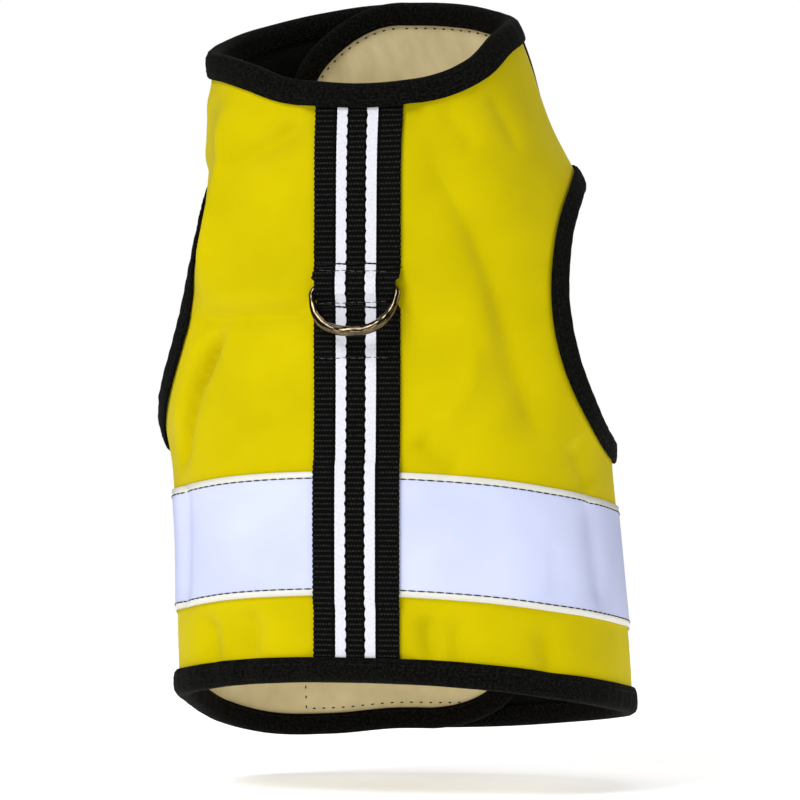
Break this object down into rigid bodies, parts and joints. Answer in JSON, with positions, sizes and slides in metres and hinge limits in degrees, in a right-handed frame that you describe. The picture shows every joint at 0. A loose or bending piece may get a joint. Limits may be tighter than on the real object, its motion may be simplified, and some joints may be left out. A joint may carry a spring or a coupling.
{
  "type": "cat harness",
  "caption": "Wrap-round cat vest with bound edges, a reflective band, a striped back strap and a lead ring on the spine.",
  "frame": {"origin": "on the axis of the wearer's girth, just behind the armholes, level with the spine there", "axes": "+Z along the wearer's body to the neck, +Y from the spine to the belly, +X to the wearer's right"},
  "size_m": [0.1412, 0.1191, 0.2206],
  "materials": {
    "shell": "smooth coated woven polyester",
    "lining": "soft knitted lining",
    "tape": "reflective coated tape",
    "webbing": "ribbed woven webbing",
    "hook_and_loop": "hook and loop pile",
    "trim": "soft brushed binding",
    "ring": "dark polished plating"
  },
  "bodies": {
    "vest": {"shell": "shell", "lining": "lining", "reflective_tape": "tape", "webbing": "webbing", "hook_neck": "hook_and_loop", "loop_neck": "hook_and_loop", "hook_belly": "hook_and_loop", "loop_belly": "hook_and_loop", "trim_hem": "trim", "trim_right_side": "trim", "trim_neck": "trim", "trim_front": "trim", "trim_armhole_left": "trim"},
    "ring": {"d_ring": "ring"}
  },
  "joints": [
    {"name": "ring_swing", "type": "hinge", "parent": "vest", "child": "ring", "pos_m": [0, -0.0548, 0.0563], "axis": [-1, 0, 0], "range_deg": [0, 136]}
  ]
}
